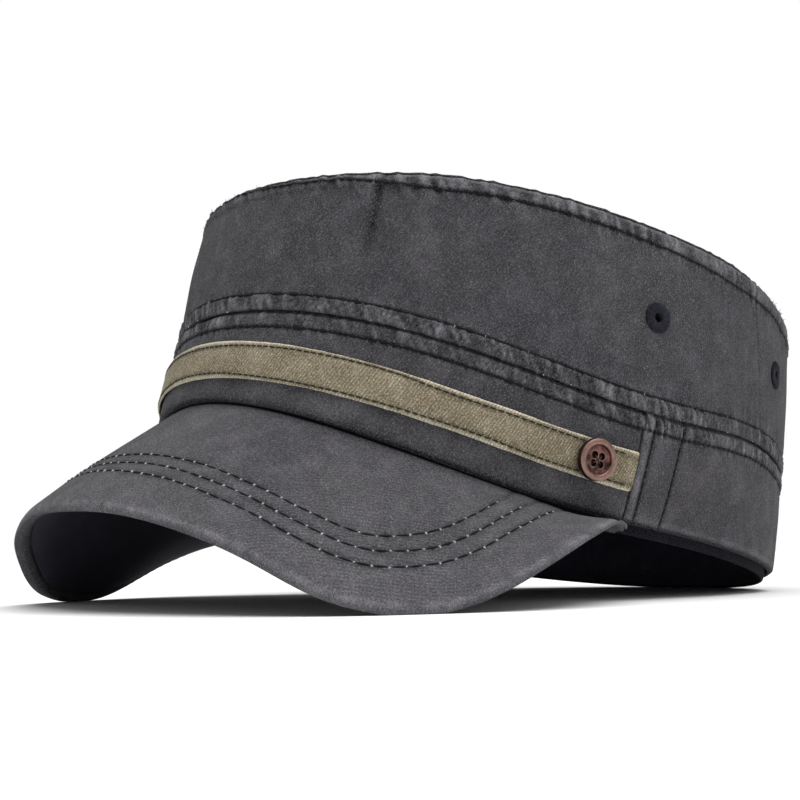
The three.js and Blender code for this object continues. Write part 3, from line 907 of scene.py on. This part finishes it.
def spin(bm, profile, steps, closed):
    """Spins a profile in mm round the z axis."""
    spots = [bm.verts.new((x * mm, 0, z * mm)) for x, z in profile]
    ends = spots[1:] + spots[:1] if closed else spots[1:]
    line = [bm.edges.new(pair) for pair in zip(spots, ends)]
    bmesh.ops.spin(
        bm, geom=spots + line, cent=(0, 0, 0), axis=(0, 0, 1), angle=2 * math.pi, steps=steps,
        use_merge=True)


def satin_ring(node):
    """The ring on one hole, square to the skin there."""
    low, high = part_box(node)
    flat = upright @ ((low + high) / 2)
    turn = math.atan2(flat.x, -flat.y)
    step = math.degrees(BESIDE_HOLE / WALL_RADIUS)
    around = [
        on_wall(side, math.degrees(turn) + way * step, flat.z + rise * BESIDE_HOLE)[0]
        for way, rise in ((1, 0), (0, 1), (-1, 0), (0, -1))
    ]
    beside = (around[0] - around[2]).normalized()
    out = beside.cross(around[1] - around[3]).normalized()
    place = Matrix((beside, out.cross(beside), out)).transposed().to_4x4()
    place.translation = sum(around, Vector()) / 4 + out * 0.1 * mm

    ring = bmesh.new()
    spin(ring, RING, 36, closed=True)
    bmesh.ops.recalc_face_normals(ring, faces=ring.faces)
    for i in range(SATIN_STITCHES):
        at = i / SATIN_STITCHES * 2 * math.pi
        way = Vector((math.cos(at), math.sin(at), 0)) * mm
        first = way * (1.25 + random.uniform(-0.12, 0.12)) + Vector((0, 0, 0.15 * mm))
        last = way * (4.3 + random.uniform(-0.25, 0.35)) + Vector((0, 0, 0.2 * mm))
        rise = Vector((0, 0, random.uniform(0.1, 0.3) * mm))
        bmesh.ops.create_uvsphere(
            ring, u_segments=6, v_segments=6, radius=1,
            matrix=stretched((first + last) / 2 + rise, last - first, Vector((0, 0, 1)), 0.38 * mm))
    bmesh.ops.transform(ring, matrix=place, verts=ring.verts)
    piece = keep(ring, node + "_satin")
    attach(piece, "root")
    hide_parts(node)
    return piece


eyelets = [satin_ring(name) for name in sorted(nodes) if name.startswith("eyelet")]
print("air holes:", [piece.name for piece in eyelets])

# %% [markdown]
# ## The button
# The button is cast zinc with an antique copper plate, a raised rim and a dish with four holes. Its
# profile is spun into a disc, and a Boolean cuts the holes, which are blind. The thread crosses in the
# dish. The place and the way it faces come from the frame's own button.

# %% Spin the profile
low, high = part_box("button")
button_flat = upright @ ((low + high) / 2)
corners = points_of(nodes["button"].data)
middle = Vector(corners.mean(axis=0))
spread = np.linalg.svd(corners - corners.mean(axis=0))[2]
facing = Vector(spread[2])
if facing.dot(middle - resting @ Vector((0, 0, button_flat.z))) < 0:
    facing = -facing
depths = (corners - np.array(middle)) @ np.array(facing)
foot = middle + facing * float(depths.min())
thick = float(depths.max() - depths.min()) / mm
beside = facing.cross(Vector(CAP_UP)).normalized()
above = facing.cross(beside)
button_place = Matrix((beside, above, facing)).transposed().to_4x4()
button_place.translation = foot

# In mm: the foot, the flank, the round rim and the dish
DISH = 1.0
profile = [
    (0.01, 0.0), (4.9, 0.0), (5.45, 0.25), (5.75, 0.75), (5.75, thick - 0.85), (5.6, thick - 0.35),
    (5.2, thick - 0.08), (4.75, thick), (4.25, thick - 0.1), (3.95, thick - 0.4), (3.75, thick - 0.85),
    (3.4, thick - DISH), (0.01, thick - DISH),
]
disc = bmesh.new()
spin(disc, profile, 72, closed=False)
bmesh.ops.remove_doubles(disc, verts=disc.verts, dist=0.02 * mm)
bmesh.ops.holes_fill(disc, edges=disc.edges, sides=0)
bmesh.ops.recalc_face_normals(disc, faces=disc.faces)
bmesh.ops.transform(disc, verts=disc.verts, matrix=button_place)
button = keep(disc, "button_body")

# The holes, also in mm: the way from the middle, the radius and the height of the floor
HOLE_WAY = 1.6
HOLE_RADIUS = 1.0
HOLE_FLOOR = 0.3
DRILL_LENGTH = 12
drills = bmesh.new()
for at in (45, 135, 225, 315):
    turn = math.radians(at)
    middle_height = HOLE_FLOOR + DRILL_LENGTH / 2
    place = Vector((math.cos(turn) * HOLE_WAY, math.sin(turn) * HOLE_WAY, middle_height)) * mm
    bmesh.ops.create_cone(
        drills, cap_ends=True, segments=28, radius1=HOLE_RADIUS * mm, radius2=HOLE_RADIUS * mm,
        depth=DRILL_LENGTH * mm,
        matrix=button_place @ Matrix.Translation(place),
    )
drill = keep(drills, "drill")
cut = button.modifiers.new("Holes", "BOOLEAN")
cut.object = drill
cut.operation = "DIFFERENCE"
cut.solver = "EXACT"
apply_modifiers(button)
bpy.data.objects.remove(drill)
button_mesh = button.data
smooth(button_mesh)
button_mesh.set_sharp_from_angle(angle=math.radians(38))
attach(button, "root")
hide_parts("button")
print("button:", len(button_mesh.polygons), "faces, thick", round(thick, 2), "mm")

# %% Thread crossed in the dish
CROSS_LENGTH = 3.4 * mm
CROSS_RADIUS = 0.24 * mm
cross = []
face_turn = button_place.to_3x3()
centre = button_place @ Vector((0, 0, (thick - DISH + 0.05) * mm))
for at in (45, 135):
    way = Vector((math.cos(math.radians(at)), math.sin(math.radians(at)), 0))
    cross.append(stretched(centre, face_turn @ way * CROSS_LENGTH, facing, CROSS_RADIUS))
button_thread = beads("button_thread", cross)

# %% [markdown]
# ## Materials
# Garment-washed cotton twill is matt, with a fine slanting weave. Pigment dye sits on the surface, so
# it wears off the ridges to a pale grey and stays nearly black in the grooves beside the stitches.

# %% Helpers for colours and nodes
def linear(text, alpha=1.0):
    """An sRGB hex value as the linear colour that shaders use."""
    parts = [int(text[i:i + 2], 16) / 255 for i in (1, 3, 5)]
    return [c / 12.92 if c <= 0.04045 else ((c + 0.055) / 1.055) ** 2.4 for c in parts] + [alpha]


def plug(tree, node, values):
    """Fills a node's sockets, each from another node's output or with a plain value."""
    for key, value in values.items():
        if isinstance(value, bpy.types.NodeSocket):
            tree.links.new(value, node.inputs[key])
        else:
            node.inputs[key].default_value = value


def add(tree, kind, values=None, **settings):
    """Adds a node, with its settings and what its sockets get."""
    new = tree.nodes.new(kind)
    for key, value in settings.items():
        setattr(new, key, value)
    plug(tree, new, values or {})
    return new


def lumps(tree, place, size, detail, roughness=0.5):
    """Noise with lumps of a size in metres."""
    return add(tree, "ShaderNodeTexNoise", {
        "Vector": place, "Scale": 1 / size, "Detail": detail, "Roughness": roughness}).outputs["Fac"]


def span(tree, value, low, high, to_low=0.0, to_high=1.0):
    """Maps a value from one span to another, and stops at its ends."""
    return add(tree, "ShaderNodeMapRange", {
        "Value": value, "From Min": low, "From Max": high, "To Min": to_low, "To Max": to_high,
    }).outputs[0]


def reckon(tree, operation, *values):
    return add(tree, "ShaderNodeMath", dict(enumerate(values)), operation=operation).outputs[0]


def blend_colour(tree, factor, first, second):
    mixed = add(tree, "ShaderNodeMix", {0: factor}, data_type="RGBA")
    plug(tree, mixed, {6: first, 7: second})
    return mixed.outputs[2]


def relief(tree, height, strength, distance, below=None):
    """A bump of a depth in metres, on top of another one if there is one."""
    values = {"Height": height, "Strength": strength, "Distance": distance}
    return add(tree, "ShaderNodeBump", values | ({"Normal": below} if below else {})).outputs[0]


def new_material(name):
    """A material, its nodes, its shader and the place on the object."""
    material = bpy.data.materials.new(name)
    material.use_nodes = True
    tree = material.node_tree
    place = add(tree, "ShaderNodeTexCoord")
    return material, tree, tree.nodes["Principled BSDF"], place.outputs["Object"]


def paint(pieces, material):
    for piece in pieces:
        piece.data.materials.clear()
        piece.data.materials.append(material)
    print(material.name, "is on", ", ".join(piece.name for piece in pieces))


# %% Washed cotton twill
def washed_twill(name, plain, dark, pale, deep, pitch, ribs_show, flecks, bump, specular=0.15):
    """Cotton cloth with a slanting weave, rubbed pale and darkened by its "wear_and_shade" attribute;
    some of the dark is painted shade.
    """
    material, tree, shader, place = new_material(name)
    plain, dark, pale, deep = (linear(text) for text in (plain, dark, pale, deep))
    # Clouds of uneven dye, 30 mm and 7 mm across, and fibres drawn 0.4 mm across so that they show
    clouds = lumps(tree, place, 30 * mm, 5.0, 0.6)
    patches = lumps(tree, place, 7 * mm, 4.0, 0.65)
    fibres = lumps(tree, place, 0.42 * mm, 3.0, 0.8)
    # The twill's slanting ribs, on the cloth's own UV map
    cloth = add(tree, "ShaderNodeUVMap", uv_map="cloth").outputs["UV"]
    slant = add(tree, "ShaderNodeMapping", {"Vector": cloth, "Rotation": (0, 0, math.radians(27))})
    ribs = add(tree, "ShaderNodeTexWave", {
        "Vector": slant.outputs["Vector"], "Scale": math.pi / 10 / pitch, "Distortion": 3.0,
        "Detail": 3.0, "Detail Scale": 2.5}).outputs["Fac"]
    # Fine upright puckers beside the seams, 1.5 mm apart and too fine for the mesh
    along = add(tree, "ShaderNodeMapping", {
        "Vector": cloth, "Rotation": (0, 0, math.radians(-8)),
        "Scale": (1 / (1.5 * mm), 1 / (8 * mm), 1)})
    waves = lumps(tree, along.outputs["Vector"], 1, 2.0)
    seam = add(tree, "ShaderNodeAttribute", attribute_name="seam").outputs["Fac"]
    puckers = reckon(tree, "MULTIPLY", span(tree, waves, 0.32, 0.68, -1.0, 1.0), seam)
    # The dye, darker in clouds and paler in patches
    colour = blend_colour(tree, span(tree, clouds, 0.36, 0.64), dark, plain)
    colour = blend_colour(tree, span(tree, patches, 0.45, 0.75, to_high=0.25), colour, pale)
    # Values above 0 are rubbed pale; below 0 the dye is whole and deep, and some of that dark is painted
    # shade
    wear_and_shade = add(tree, "ShaderNodeAttribute", attribute_name="wear_and_shade").outputs["Fac"]
    worn_and_shaded = reckon(tree, "MULTIPLY", wear_and_shade, reckon(tree, "ADD", patches, 0.5))
    colour = blend_colour(tree, span(tree, worn_and_shaded, 0.05, 0.9), colour, pale)
    colour = blend_colour(tree, span(tree, worn_and_shaded, -0.02, -0.7, to_high=0.92), colour, deep)
    colour = blend_colour(tree, span(tree, fibres, 0.5, 0.74, to_high=flecks), colour, pale)
    # Light and shade of the fibres, the ribs and the puckers
    fleck = span(tree, fibres, 0.3, 0.7, 1 - flecks, 1 + flecks)
    weave = span(tree, ribs, 0.0, 1.0, 1 - ribs_show, 1 + ribs_show)
    shade = reckon(tree, "MULTIPLY", fleck, weave)
    shade = reckon(tree, "MULTIPLY", shade, reckon(tree, "MULTIPLY_ADD", puckers, 0.34, 1.0))
    scaled = add(tree, "ShaderNodeVectorMath", {0: colour, 1: shade}, operation="MULTIPLY")
    folds = relief(tree, puckers, 0.9, 0.5 * mm)
    weave_bump = relief(tree, reckon(tree, "ADD", fibres, ribs), bump, 0.12 * mm, folds)
    plug(tree, shader, {
        "Base Color": scaled.outputs[0], "Roughness": span(tree, patches, 0.0, 1.0, 0.86, 0.98),
        "Normal": weave_bump, "Specular IOR Level": specular, "Sheen Weight": 0.03,
        "Sheen Roughness": 0.5})
    return material


paint((side, front, back, top, peak), washed_twill(
    "Garment-washed cotton twill", "#403f42", "#39383c", "#757377", "#131318",
    pitch=0.7 * mm, ribs_show=0.015, flecks=0.6, bump=1.0))
paint((tape,), washed_twill(
    "Cotton twill tape", "#8a7f69", "#6f6551", "#c6beaa", "#2a261b",
    pitch=0.8 * mm, ribs_show=0.22, flecks=0.55, bump=0.9))
paint((lining,), washed_twill(
    "Black cotton lining", "#2e2e3a", "#262630", "#3c3c48", "#050507",
    pitch=0.7 * mm, ribs_show=0.05, flecks=0.3, bump=0.4))
# The sweatband's colours are lighter than black cloth, as painted fill light inside the cap; its deep
# colour is painted shade
paint((sweat,), washed_twill(
    "Black cotton sweatband, painted lighter inside", "#4a4a58", "#40404c", "#5c5c6c", "#030304",
    pitch=0.7 * mm, ribs_show=0.05, flecks=0.3, bump=0.4, specular=0.04))


# %% Sewing thread
def sewing_thread(name, plain, pale):
    """Twisted polyester thread: small bright and dark bands 0.4 mm apart."""
    material, tree, shader, place = new_material(name)
    strands = lumps(tree, place, 0.4 * mm, 2.0)
    uneven = lumps(tree, place, 6 * mm, 3.0)
    share = span(tree, reckon(tree, "MULTIPLY", strands, uneven), 0.12, 0.45)
    plug(tree, shader, {
        "Base Color": blend_colour(tree, share, linear(plain), linear(pale)), "Roughness": 0.7,
        "Specular IOR Level": 0.2, "Normal": relief(tree, strands, 0.5, 0.08 * mm)})
    return material


for pieces, name, plain, pale in (
    ((wall_stitches, peak_stitches), "Black sewing thread", "#09090d", "#16161c"),
    ((strap_stitches,), "Olive sewing thread", "#1f1d14", "#3a372a"),
    ((button_thread,), "Brown sewing thread", "#2c1c1a", "#5a3d36"),
    (eyelets, "Navy embroidery thread", "#12131a", "#292a35"),
    ((lint_specks,), "Pale lint", "#96969a", "#c4c4c2"),
    ((edge_fuzz,), "Loose cotton fibre", "#4e4d50", "#77767a"),
    ((sweat_tacks,), "Grey tacking thread", "#3c3c42", "#62626a"),
):
    paint(pieces, sewing_thread(name, plain, pale))

# %% Antique copper plate: bright where rubbed, dark in the recesses
copper, tree, shader, place = new_material("Antique copper plate")
tarnish = lumps(tree, place, 1.6 * mm, 5.0, 0.65)
fine = lumps(tree, place, 0.25 * mm, 2.0)
ridge = add(tree, "ShaderNodeNewGeometry").outputs["Pointiness"]
# The flank, where the normal turns away from the face, is coloured darker
normal = add(tree, "ShaderNodeTexCoord").outputs["Normal"]
across = add(tree, "ShaderNodeVectorMath", {0: normal, 1: facing}, operation="DOT_PRODUCT")
flank = span(tree, across.outputs["Value"], 0.75, 0.15)
colour = blend_colour(tree, span(tree, tarnish, 0.4, 0.62), linear("#2c1b1a"), linear("#775049"))
colour = blend_colour(tree, span(tree, ridge, 0.505, 0.6), colour, linear("#b8998b"))
plug(tree, shader, {
    "Base Color": blend_colour(tree, flank, colour, linear("#3a2523")), "Metallic": 0.75,
    "Roughness": span(tree, tarnish, 0.0, 1.0, 0.25, 0.5), "Normal": relief(tree, fine, 0.25, 0.05 * mm)})
paint((button,), copper)

# %% The pale floor
plaster, tree, shader, place = new_material("White card")
colour = blend_colour(tree, lumps(tree, place, 3 * mm, 2.0), linear("#f4f4f4"), linear("#f7f7f7"))
plug(tree, shader, {"Base Color": colour, "Roughness": 0.9})

# %% The floor, the lights and the camera
floor_bm = bmesh.new()
bmesh.ops.create_grid(floor_bm, x_segments=1, y_segments=1, size=3.0)
floor = keep(floor_bm, "floor")
paint((floor,), plaster)
bpy.context.scene.view_settings.view_transform = "Standard"
studio = bpy.data.worlds.new("Studio")
bpy.context.scene.world = studio
studio.use_nodes = True
sky = studio.node_tree
rays = add(sky, "ShaderNodeLightPath")
strength = span(sky, rays.outputs["Is Camera Ray"], 0.0, 1.0, 0.35, 1.0)
plug(sky, sky.nodes["Background"], {"Strength": strength, "Color": (1, 1, 1, 1)})

# The lens, the place and the turn come from a fit of the cap's ovals and seams
SENSOR_WIDTH = 36
LENS_PIXELS = 1440.87
PICTURE_PIXELS = 800
eye = bpy.data.cameras.new("Camera")
eye.sensor_fit = "HORIZONTAL"
eye.sensor_width = SENSOR_WIDTH
eye.lens = LENS_PIXELS / PICTURE_PIXELS * SENSOR_WIDTH
eye.clip_start = 0.01
camera = bpy.data.objects.new("Camera", eye)
right = Vector((0.59966, 0.80009, -0.01635))
upward = Vector((0.09405, -0.05017, 0.9943))
ahead = Vector((-0.79471, 0.59778, 0.10533))
stand = Matrix((right, upward, -ahead)).transposed().to_4x4()
camera.matrix_world = Matrix.Translation(Vector((357.699, -284.413, 14.231)) * mm) @ stand
bpy.context.scene.collection.objects.link(camera)
bpy.context.scene.camera = camera


CAP_MIDDLE = Vector((0, 0, 60)) * mm


def aim(name, lamp, place):
    """Puts a light in the scene, turned to the middle of the cap."""
    holder = bpy.data.objects.new(name, lamp)
    holder.location = place
    holder.rotation_euler = (CAP_MIDDLE - Vector(place)).to_track_quat("-Z", "Y").to_euler()
    bpy.context.scene.collection.objects.link(holder)


overhead = bpy.data.lights.new("Overhead", "SUN")
overhead.angle = math.radians(70)
overhead.energy = 3.4
aim("Overhead", overhead, (0.15, 0.05, 1.2))
window = bpy.data.lights.new("Window", "AREA")
window.shape = "DISK"
window.size = 0.8
window.energy = 1.2
aim("Window", window, (1.1, 0.25, 0.7))

# %% [markdown]
# ## Sparing faces where nobody looks
# The upper wall has the finest skin. Its inner side is plain and dark, so faces are taken from there
# alone, until the whole skin has fewer than 200,000 triangles.

# %% Thin out the upper wall's inner side
SHARE_LEFT = 0.85


def thin_out(piece, share):
    """Leaves a share of a skin's triangles and takes the rest from its inner side."""
    flat_points = turn_all(points_of(piece.data), upright)
    looks_out = outer_side(flat_points, upright_normals(piece.data))
    inner = piece.vertex_groups.new(name="inner")
    inner.add([int(place) for place in np.nonzero(looks_out == 0)[0]], 1.0, "REPLACE")
    modifier = piece.modifiers.new("Thin out", "DECIMATE")
    modifier.ratio = share
    modifier.vertex_group = inner.name
    modifier.use_collapse_triangulate = False
    apply_modifiers(piece, keep_layers=True)
    piece.vertex_groups.clear()
    piece.data.calc_loop_triangles()
    print(piece.name, "now has", len(piece.data.loop_triangles), "triangles")


thin_out(side, SHARE_LEFT)
